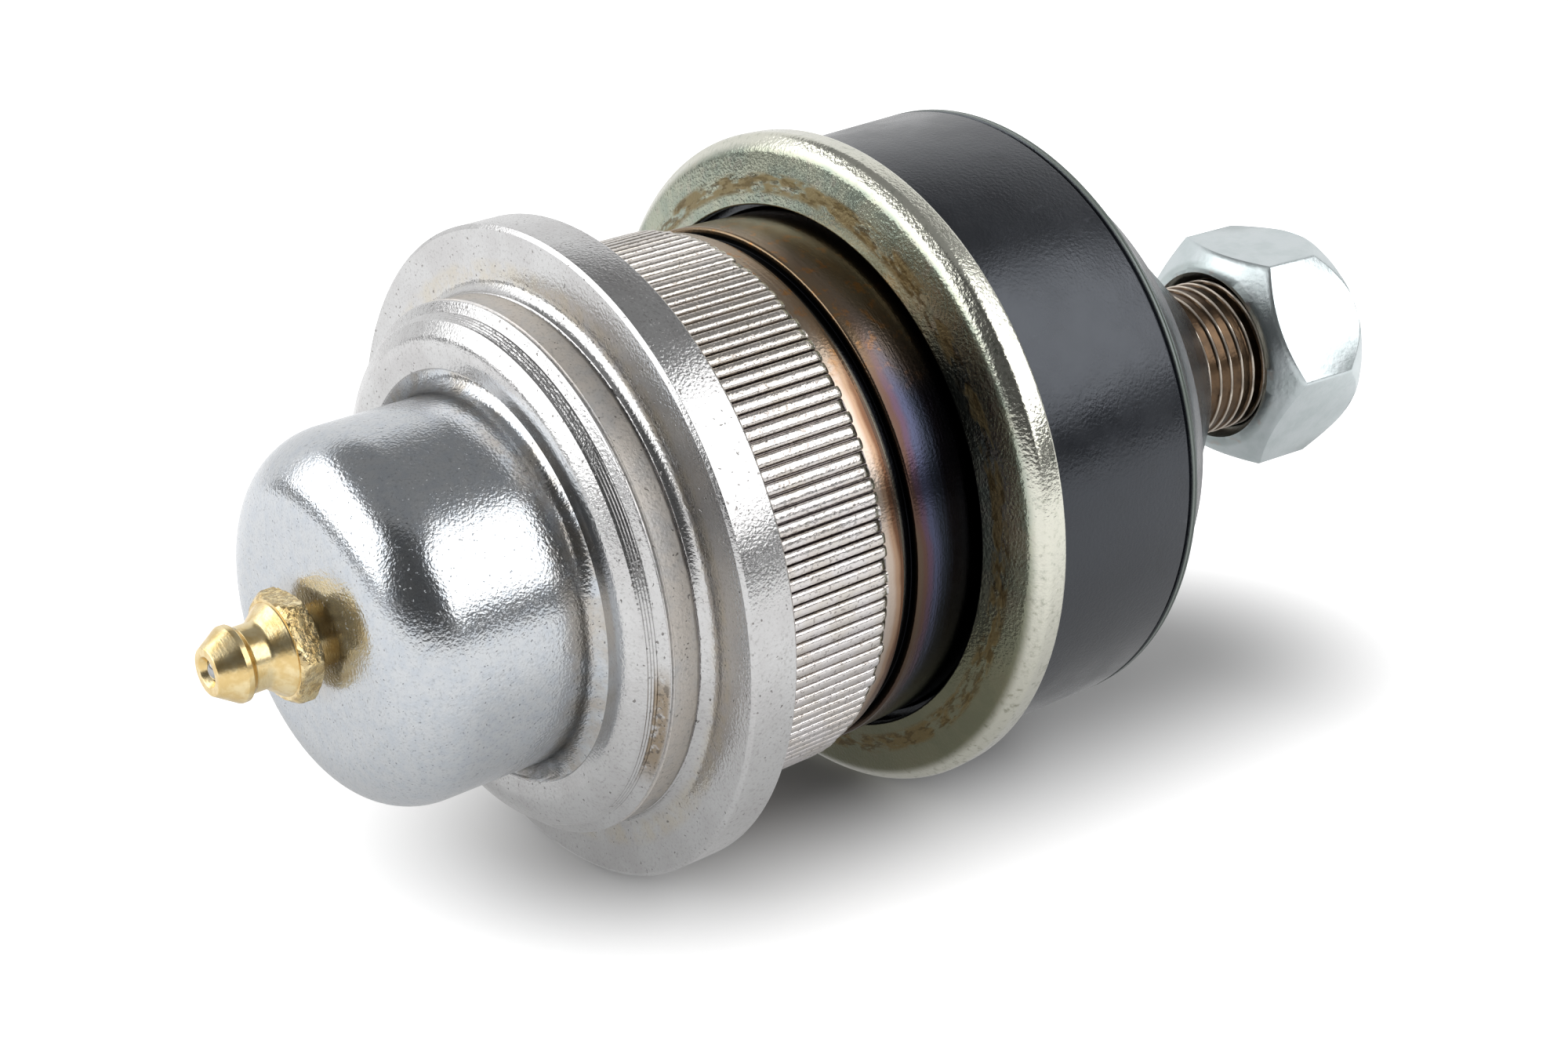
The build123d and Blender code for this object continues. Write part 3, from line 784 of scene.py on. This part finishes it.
def buildSerrations():
    t = teeth
    pitch = math.tau / t["count"]
    start, end = housing["seatX"] + housing["collarLength"], t["endX"]
    stations = [start + past for past in t["startRows"]] + list(t["rows"])
    stations += [end - back for back in t["endRows"]]
    # a chance and a setback for each tooth's end; the third draw is not used
    spread = t["endSpread"]
    draws = [(random.random(), random.uniform(-spread, spread), random.random()) for _ in range(t["count"])]
    rows = []
    for x in stations:
        row = []
        startNear = blendStep((start + t["startLength"] - x) / t["startLength"])
        for tooth, (chance, setback, _) in enumerate(draws):
            endNear = blendStep((x - end + t["endLength"] + setback * 2) / t["endLength"])
            wear = t["endWear"] + t["tornWear"] * (chance > t["tornFrom"]) * chance
            for share, low in t["section"]:
                crest = 1 - low
                drop = low * t["depth"] + crest * endNear * wear + crest * t["startWear"] * startNear
                radius = housing["crestRadius"] - min(drop, t["depth"])
                row.append(aboutAxis(x, radius, pitch * (tooth + share)))
        rows.append(row)

    def footRow(x, row):
        foot = housing["bandRadius"] - t["footDrop"]
        return [Vector((x, p.y * f, p.z * f)) for p in row for f in [foot / math.hypot(p.y, p.z)]]

    points, faces = ringGrid([footRow(start, rows[0]), *rows, footRow(end, rows[-1])], True)
    place(meshPiece("serrations", points, faces, 40), "socket", "housing", makeRolledSteel())


buildHousing()
buildSerrations()
print("stage: housing built")


cap = dict(
    wall=17.06, sheet=1.6, crownRadius=6.7, baseFillet=1.8, rim=23.0, rimEdge=0.2, hole=2.87,
    around=320,
)


def buildCap():
    c = cap
    inside = c["wall"] - c["sheet"]
    crown, seat = capLow.x, capHigh.x
    outline = rounded([
        (crown, c["hole"]),
        (crown, c["wall"], c["crownRadius"]),
        (seat - c["sheet"], c["wall"], c["baseFillet"]),
        (seat - c["sheet"], c["rim"], c["rimEdge"]),
        (seat, c["rim"], c["rimEdge"]),
        (seat, inside, c["baseFillet"]),
        (crown + c["sheet"], inside, c["crownRadius"] - c["sheet"]),
        (crown + c["sheet"], c["hole"]),
    ], 24)
    place(lathe("coverCap", outline, c["around"]), "socket", "cover_cap", makePlatedSheet())


fitting = dict(
    acrossFlats=8.9, hexCorner=0.35, hexLength=2.2, standOff=0.95,
    # cones that trim the hexagon, in from its back and its front; 9 is clear of it
    backTrim=((0.0, 4.0), (0.0, 4.55), (0.12, 4.85), (0.3, 5.06), (0.5, 9.0)),
    frontTrim=((0.75, 9.0), (0.5, 5.0), (0.2, 4.75), (0.0, 4.5)),
    flare=1.6, flareRadius=4.2, neck=1.6, neckRadius=2.95,
    head=((0.5, 3.4, 0.12), (1.0, 3.4, 0.15)),  # forward of the neck
    # in from the tip: its rim, the check ball's seat and the passage behind
    mouth=((0.0, 2.1, 0.18), (0.0, 1.4, 0.1), (0.65, 0.95, 0.05), (0.66, 1.35, 0.05),
           (5.3, 1.35), (5.31, 0.8)),
    passage=0.8, shank=2.85, shankChamfer=0.4,
    perSide=14,
)


def buildFitting():
    f = fitting
    hexBack = capLow.x - f["standOff"]
    hexFront = hexBack - f["hexLength"]
    neckX = hexFront - f["flare"]
    headX = neckX - f["neck"]
    flats, corner = f["acrossFlats"], f["hexCorner"]
    angles = hexAngles(f["perSide"], flats, corner)
    rows = []
    for x, cone in shifted(hexBack, f["backTrim"], -1) + shifted(hexFront, f["frontTrim"]):
        rows.append([aboutAxis(x, min(cone, hexRadius(a, flats, corner)), a) for a in angles])
    # the lathe-turned rest goes on with the same angles, from the flare to the mouth and back inside
    turned = rounded([
        (hexFront, f["flareRadius"]),
        (hexFront - 0.1, f["flareRadius"] - 0.05, 0.1),
        (neckX, f["neckRadius"], 0.8),
        (headX, f["neckRadius"], 0.3),
        *shifted(headX, f["head"], -1),
        *shifted(fittingLow.x, f["mouth"]),
        (fittingHigh.x, f["passage"]),
        (fittingHigh.x, f["shank"] - f["shankChamfer"]),
        (fittingHigh.x - f["shankChamfer"], f["shank"]),
        (hexBack, f["shank"]),
    ], 5)
    rows += [[aboutAxis(x, radius, a) for a in angles] for x, radius in turned]
    points, faces = ringGrid(rows, True)
    piece = meshPiece("greaseFitting", points, faces, 30)
    place(piece, "socket", "grease_fitting", makeTurnedBrass())


def buildCheckBall():
    low, high = reach("fitting_check_ball")
    middle, size = (low.x + high.x) / 2, (high.x - low.x) / 2
    turns = [math.pi * k / 24 for k in range(25)]
    arc = [(middle - size * math.cos(turn), size * math.sin(turn)) for turn in turns]
    ball = lathe("checkBall", arc, 48, False)
    place(ball, "check_ball", "fitting_check_ball", makeHardenedSteel())


buildCap()
buildFitting()
buildCheckBall()
print("stage: cap and fitting built")


ring = dict(
    sheet=1.2, bore=25.9, dish=1.1,
    shoulderIn=1.2, shoulderRound=2.2, rollLength=1.15, rollRound=1.0,  # outside
    innerShoulder=2.5, innerRoll=1.9, innerRound=0.7,
    around=320,
)


def buildRing():
    r = ring
    front, back = ringLow.x, ringHigh.x
    outer = ringHigh.y
    face = front + r["dish"]
    outline = rounded([
        (front + 0.5, r["bore"]),
        (front, r["bore"] + 0.02, 0.2),
        (face, outer - r["shoulderIn"], r["shoulderRound"]),
        (face + r["rollLength"], outer, r["rollRound"]),
        (back, outer - 0.1, 0.5),
        (back, outer - r["sheet"], 0.3),
        (face + r["innerRoll"], outer - r["sheet"], r["innerRound"]),
        (face + r["sheet"], outer - r["innerShoulder"], r["innerRound"]),
        (front + r["sheet"], r["bore"], 0.2),
        (front + 0.6, r["bore"]),
    ], 12)
    place(lathe("bootRing", outline, r["around"]), "socket", "boot_ring", makeYellowZinc())


boot = dict(
    foot=((15.6, 25.2), (14.15, 25.2, 0.2), (14.15, 29.6, 0.8), (16.0, 30.2, 0.5)),
    drum=30.6,
    # the mould's parting line: a groove and two ridges, from partingX and from the drum's radius
    partingX=34.08,
    partingLine=((-0.15, -0.02, 0.1), (0.0, -0.4, 0.08), (0.25, -0.4, 0.08), (0.4, 0.0, 0.08),
                 (0.65, 0.0, 0.05), (0.74, -0.16, 0.03), (0.84, -0.02, 0.05)),
    rimX=35.12, rimRadius=30.45,
    thin=0.9, thicker=0.94,  # the wall where it flexes most, and what is added to it at the rim
    mouthAt=53.8, mouth=11.5, mouthRound=0.35, mouthOut=1.01, hole=8.3,
    inside=((34.8, 28.0), (30, 27.9), (24, 27.8), (17.5, 27.7), (16.6, 27.3), (16.5, 25.2)),
    seamX=40.0, seamGap=0.1, seamClear=0.03,  # the two pieces meet here
    bendStart=34.5, bendEnd=49.5,
    coneRows=14, around=192,
)


def buildBoot():
    b = boot
    rim = Vector((b["rimX"], 0, 0))
    mouthMiddle = studTurn @ Vector((b["mouthAt"], 0, 0))
    seam = (b["seamX"] - rim.x) / (mouthMiddle.x - rim.x)

    def coneRow(share, radius):
        # a ring of the cone, 0 at the rim and 1 at the mouth, leaning with the stud except at the seam
        lean = 0 if share == seam else min(share, 1)
        turn = Matrix.Rotation(studLean * lean, 3, "Z")
        middle = rim.lerp(mouthMiddle, share)
        return [middle + turn @ p for p in ringOf(0, radius, b["around"])]

    def coneRadius(share):
        return b["rimRadius"] + (b["mouth"] - b["rimRadius"]) * share

    def insideRadius(share):
        thin = coneRadius(share) - b["thin"]
        if share < seam:
            return thin - b["thicker"] * (1 - share / seam) ** 2
        return thin - (b["mouth"] - b["hole"] - b["thin"]) * ((share - seam) / (1 - seam)) ** 2

    drum = rounded([
        *b["foot"],
        *[(b["partingX"] + past, b["drum"] + rise, fillet) for past, rise, fillet in b["partingLine"]],
        (b["rimX"] - 0.05, b["drum"], 0.15),
        (b["rimX"], b["rimRadius"]),
    ], 5)
    cone = [k / b["coneRows"] for k in range(1, b["coneRows"] + 1)]
    first = [s for s in cone if s < seam - b["seamClear"]] + [seam]
    second = [seam] + [s for s in cone if s > seam + b["seamClear"]]
    drumRows = [ringOf(x, r, b["around"]) for x, r in drum]
    drumRows += [coneRow(s, coneRadius(s)) for s in first]
    drumRows += [coneRow(s, insideRadius(s)) for s in reversed(first)]
    drumRows += [ringOf(x, r, b["around"]) for x, r in b["inside"]]
    mouthRows = [coneRow(s, coneRadius(s)) for s in second]
    mouthRows.append(coneRow(b["mouthOut"], b["mouth"] - b["mouthRound"]))
    mouthRows.append(coneRow(b["mouthOut"], b["hole"] + b["mouthRound"]))
    mouthRows += [coneRow(1.0, b["hole"])] + [coneRow(s, insideRadius(s)) for s in reversed(second[:-1])]
    drumPiece = meshPiece("bootDrum", *ringGrid(drumRows, True), 50)
    mouthPiece = meshPiece("bootMouth", *ringGrid(mouthRows, False), 50)
    rubber = makeMouldedRubber()
    for piece in (drumPiece, mouthPiece):
        piece.data.materials.append(rubber)
        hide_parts("dust_boot")
    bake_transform(drumPiece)
    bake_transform(mouthPiece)


buildRing()
buildBoot()
print("stage: ring and boot built")


stud = dict(
    ball=15.5, ballFlat=5.0, neck=8.7, neckStart=14.2,
    taperBig=9.4, taperSmall=8.2, taperStart=26.0, taperEnd=50.0, taperStep=1.0,
    thread=8.0, pitch=1.5, threadStart=51.5, threadDeep=0.3, threadRunOut=0.6,
    threadFade=1.2, flank=0.4,  # the first crests rise over this length; the flank is a share of half a pitch
    end=77.3, endChamfer=1.2, endDrop=0.05,
    stepsPerPitch=14, ballRows=39, ballOverrun=0.05, around=120,
)


def buildStud():
    s = stud
    around = s["around"]
    flatX = -math.sqrt(s["ball"] ** 2 - s["ballFlat"] ** 2)
    first = math.atan2(s["ballFlat"], flatX)
    last = math.asin(s["neck"] / s["ball"]) + s["ballOverrun"]
    turns = [first + (last - first) * k / s["ballRows"] for k in range(1, s["ballRows"] + 1)]
    body = [(flatX, 0), (flatX, s["ballFlat"])]
    body += [(s["ball"] * math.cos(a), s["ball"] * math.sin(a)) for a in turns]
    body += [
        (s["neckStart"], s["neck"]),
        (s["taperStart"] - s["taperStep"], s["neck"]),
        (s["taperStart"], s["taperBig"]),
        (s["taperEnd"], s["taperSmall"]),
        (s["threadStart"] - s["threadRunOut"], s["thread"] - s["threadDeep"]),
    ]
    rows = [ringOf(x, r, around) for x, r in body]
    x = s["threadStart"] - s["threadRunOut"] / 2
    while x < s["end"] - 0.001:
        row = []
        for k in range(around):
            share = (x / s["pitch"] - k / around) % 1.0
            deep = s["threadDeep"] * blendStep(abs(share - 0.5) * 2 / s["flank"])
            fade = blendStep((x - s["threadStart"]) / s["threadFade"])
            radius = s["thread"] - deep * fade - (1 - fade) * s["threadDeep"]
            radius = min(radius, s["thread"] - max(0.0, x - (s["end"] - s["endChamfer"])))
            row.append(aboutAxis(x, radius, math.tau * k / around))
        rows.append(row)
        x += s["pitch"] / s["stepsPerPitch"]
    rows.append(ringOf(s["end"], s["thread"] - s["endChamfer"] - s["endDrop"], around))
    rows.append(ringOf(s["end"], 0, around))
    points, faces = ringGrid([[studTurn @ p for p in row] for row in rows], False)
    place(meshPiece("ballStud", points, faces, 40), "stud", "ball_stud", makeRolledThread())


nut = dict(
    acrossFlats=22.1, corner=0.5, turn=2.35,  # turned by these degrees on the stud
    near=63.5, height=12.0, nearFace=9.45, farFace=11.1, faceEdge=0.15,
    nearChamfer=2.4, farChamfer=3.4,
    # out along a chamfer: share of the way to the flat, least depth and added depth
    chamferRows=((0.25, 0.06, 0), (0.5, 0.06, 0), (0.75, 0.06, 0), (0.92, 0.06, 0), (1.0, 0.16, 0.12)),
    bore=8.05, countersink=8.95, nearSink=1.4, farSink=0.55,
    perSide=22,
)


def buildNut():
    n = nut
    tip = n["acrossFlats"] / 2 / math.cos(math.pi / 6)
    turnBy = math.radians(n["turn"])
    near, end = n["near"], n["near"] + n["height"]
    nearFace, farFace = n["nearFace"], n["farFace"]
    angles = hexAngles(n["perSide"], n["acrossFlats"], n["corner"])
    reaches = [(a + turnBy, hexRadius(a, n["acrossFlats"], n["corner"])) for a in angles]

    def ringAt(x, radius):
        return [aboutAxis(x, radius, a) for a, _ in reaches]

    def chamferAt(x, way, face, chamfer):
        # a cone from the face out, which meets each flat along a curve; its edge is slightly broken
        slope = chamfer / (tip - face)
        made = []
        for share, least, added in n["chamferRows"]:
            row = []
            for a, flat in reaches:
                out = (flat - face) * share
                row.append(aboutAxis(x + way * max(least, out * slope + added), face + out, a))
            made.append(row)
        return made

    rows = [ringAt(near + n["nearSink"], n["bore"]), ringAt(near, n["countersink"])]
    rows += [ringAt(near, nearFace - n["faceEdge"])] + chamferAt(near, 1, nearFace, n["nearChamfer"])
    rows += reversed(chamferAt(end, -1, farFace, n["farChamfer"]))
    rows += [ringAt(end, farFace - n["faceEdge"]), ringAt(end, n["countersink"] + n["faceEdge"])]
    rows += [ringAt(end - n["farSink"], n["bore"])]
    points, faces = ringGrid([[studTurn @ p for p in row] for row in rows], True)
    place(meshPiece("studNut", points, faces, 30), "stud", "stud_nut", makeBlueZinc())


buildStud()
buildNut()
print("stage: stud and nut built")


def dressHidden():
    # pieces inside keep their CAD shape and get a finish
    hardened, wire = makeHardenedSteel(), makeSpringWire()
    finishes = {"throat_bearing": hardened, "thrust_bearing": hardened, "pressure_plate": hardened,
                "preload_spring": wire, "fitting_spring": wire}
    for node, material in finishes.items():
        for slot in frame["nodes"][node].material_slots:
            slot.material = material


dressHidden()
print("stage: inner pieces finished")


# metres and degrees; azimuth is measured from +X towards +Y
studio = dict(
    cameraSpot=(-0.1354, -0.1848, 0.0922),
    cameraRight=(0.7725, -0.6330, -0.0485),
    cameraDown=(-0.2770, -0.2671, -0.9230),
    cameraLens=60.26,
    floorNormal=(0.0627, 0.0, 0.998),
    floorBelow=0.0315,
    floorHalf=1.1,
    footprint=(0.026, 0.034),  # middle and half length of the strip that lies under the part
    # from this distance to that past the strip, the level goes from one value to the other
    whiteRamp=(0.02, 0.12, 0.50, 0.70),  # the card's colour, darker near the part as painted shade
    glowRamp=(0.003, 0.042, 0.0, 1.0),  # its glow for the camera, left out near the part, where that paints shade
    mirrorRamp=(0.014, 0.075, 0.27, 0.64),  # its glow for mirrors, lower near the part as painted shade
    roomGrey=0.28,
    boxes=(
        dict(name="frontBox", azimuth=-60, elevation=33, distance=0.9, width=1.05, height=0.72, radiance=2.4),
        dict(name="leftBox", azimuth=152, elevation=30, distance=0.7, width=0.92, height=0.52, radiance=2.4),
    ),
    shades=(
        dict(name="roomShade", azimuth=(112, 360), elevation=(3, 89), distance=1.6, grey=0.30),
        dict(name="ceilingShade", azimuth=(0, 112), elevation=(42, 89), distance=1.6, grey=0.30),
        dict(name="tableEdge", azimuth=(112, 335), elevation=(-4, 7), distance=1.3, grey=0.10),
        dict(name="cameraShade", azimuth=(196, 264), elevation=(-9, 60), distance=1.4, grey=0.09),
    ),
)


def buildWorld():
    # white for what the camera, a mirror or glass looks at, grey for light that spreads
    world = bpy.data.worlds.new("studio")
    bpy.context.scene.world = world
    world.use_nodes = True
    tree = world.node_tree
    tree.nodes.clear()
    path = addNode(tree, "ShaderNodeLightPath")
    seen = path.outputs["Is Camera Ray"]
    for way in ("Is Glossy Ray", "Is Transmission Ray"):
        seen = addNode(tree, "ShaderNodeMath", {0: seen, 1: path.outputs[way]}, operation="MAXIMUM")
    level = addNode(tree, "ShaderNodeMapRange", {"Value": seen, "To Min": studio["roomGrey"], "To Max": 1.0})
    sky = addNode(tree, "ShaderNodeBackground", {"Color": (1, 1, 1, 1), "Strength": level})
    addNode(tree, "ShaderNodeOutputWorld", {"Surface": sky})


def buildCamera():
    data = bpy.data.cameras.new("camera")
    data.lens = studio["cameraLens"]
    data.sensor_width = 36.0
    data.clip_start, data.clip_end = 0.005, 20
    camera = bpy.data.objects.new("camera", data)
    bpy.context.scene.collection.objects.link(camera)
    right = Vector(studio["cameraRight"]).normalized()
    up = -Vector(studio["cameraDown"])
    up = (up - right * up.dot(right)).normalized()
    turn = Matrix((right, up, right.cross(up))).transposed()
    camera.matrix_world = Matrix.Translation(studio["cameraSpot"]) @ turn.to_4x4()
    bpy.context.scene.camera = camera


def buildFloor():
    # white card; a share of it glows for the camera, so it stays white beyond the soft shadow; near the part
    # the card is painted darker as shade
    normal = Vector(studio["floorNormal"]).normalized()
    turn = Vector((0, 0, 1)).rotation_difference(normal).to_matrix()
    half, drop = studio["floorHalf"] * 1000, studio["floorBelow"] * 1000
    sides = ((-1, -1), (1, -1), (1, 1), (-1, 1))
    corners = [turn @ Vector((sx * half, sy * half, 0)) - normal * drop for sx, sy in sides]
    floor = meshPiece("floor", corners, [(0, 1, 2, 3)])
    material, tree = newMaterial("whiteCard")
    # distance from the strip of card that lies under the part
    spot = addNode(tree, "ShaderNodeSeparateXYZ", {0: addNode(tree, "ShaderNodeTexCoord").outputs["Object"]})
    middle, half = studio["footprint"]
    past = addNode(tree, "ShaderNodeMath", {0: spot.outputs[0], 1: middle}, operation="SUBTRACT")
    past = addNode(tree, "ShaderNodeMath", {0: past}, operation="ABSOLUTE")
    past = addNode(tree, "ShaderNodeMath", {0: past, 1: half}, operation="SUBTRACT")
    past = addNode(tree, "ShaderNodeMath", {0: past, 1: 0.0}, operation="MAXIMUM")
    flat = addNode(tree, "ShaderNodeCombineXYZ", {0: past, 1: spot.outputs[1]})
    away = addNode(tree, "ShaderNodeVectorMath", {0: flat}, operation="LENGTH")
    levels = []
    for name in ("white", "glow", "mirror"):
        near, far, least, most = studio[name + "Ramp"]
        levels.append(addNode(tree, "ShaderNodeMapRange", {
            "Value": away, "From Min": near, "From Max": far, "To Min": least, "To Max": most,
        }, **smoothly))
    white, direct, mirrored = levels
    card = addNode(tree, "ShaderNodeBsdfDiffuse", {
        "Color": addNode(tree, "ShaderNodeCombineColor", {0: white, 1: white, 2: white}),
    })
    path = addNode(tree, "ShaderNodeLightPath")
    glow = addNode(tree, "ShaderNodeMath", {
        0: overlap(tree, path.outputs["Is Camera Ray"], direct),
        1: overlap(tree, path.outputs["Is Glossy Ray"], mirrored),
    }, operation="ADD")
    shine = addNode(tree, "ShaderNodeEmission", {"Color": (1, 1, 1, 1), "Strength": glow})
    both = addNode(tree, "ShaderNodeAddShader", {0: card, 1: shine})
    addNode(tree, "ShaderNodeOutputMaterial", {"Surface": both})
    floor.data.materials.append(material)


def aim(azimuth, elevation):
    a, e = math.radians(azimuth), math.radians(elevation)
    return Vector((math.cos(e) * math.cos(a), math.cos(e) * math.sin(a), math.sin(e)))


def buildBox(name, azimuth, elevation, distance, width, height, radiance):
    data = bpy.data.lights.new(name, "AREA")
    data.shape = "RECTANGLE"
    data.size, data.size_y = width, height
    data.energy = radiance * math.pi * width * height
    light = bpy.data.objects.new(name, data)
    bpy.context.scene.collection.objects.link(light)
    way = aim(azimuth, elevation)
    light.matrix_world = Matrix.Translation(way * distance) @ way.to_track_quat("Z", "Y").to_matrix().to_4x4()
    light.visible_camera = False


def buildShade(name, azimuth, elevation, distance, grey):
    # a grey card curved round the set, which only mirrors see
    across, tall = 48, 16
    points = []
    for i in range(tall + 1):
        e = elevation[0] + (elevation[1] - elevation[0]) * i / tall
        turns = [azimuth[0] + (azimuth[1] - azimuth[0]) * k / across for k in range(across + 1)]
        points += [aim(turn, e) * distance * 1000 for turn in turns]
    width = across + 1
    faces = []
    for i in range(tall):
        for k in range(across):
            low, high = i * width + k, (i + 1) * width + k
            faces.append((low, low + 1, high + 1, high))
    shade = meshPiece(name, points, faces)
    material, tree = newMaterial(name)
    card = addNode(tree, "ShaderNodeEmission", {"Color": (grey, grey, grey, 1), "Strength": 1.0})
    addNode(tree, "ShaderNodeOutputMaterial", {"Surface": card})
    shade.data.materials.append(material)
    shade.visible_camera = False
    shade.visible_diffuse = False
    shade.visible_shadow = False


buildWorld()
buildCamera()
buildFloor()
for box in studio["boxes"]:
    buildBox(**box)
for shade in studio["shades"]:
    buildShade(**shade)
bpy.context.scene.view_settings.view_transform = "Standard"
print("stage: floor, lights and camera placed")
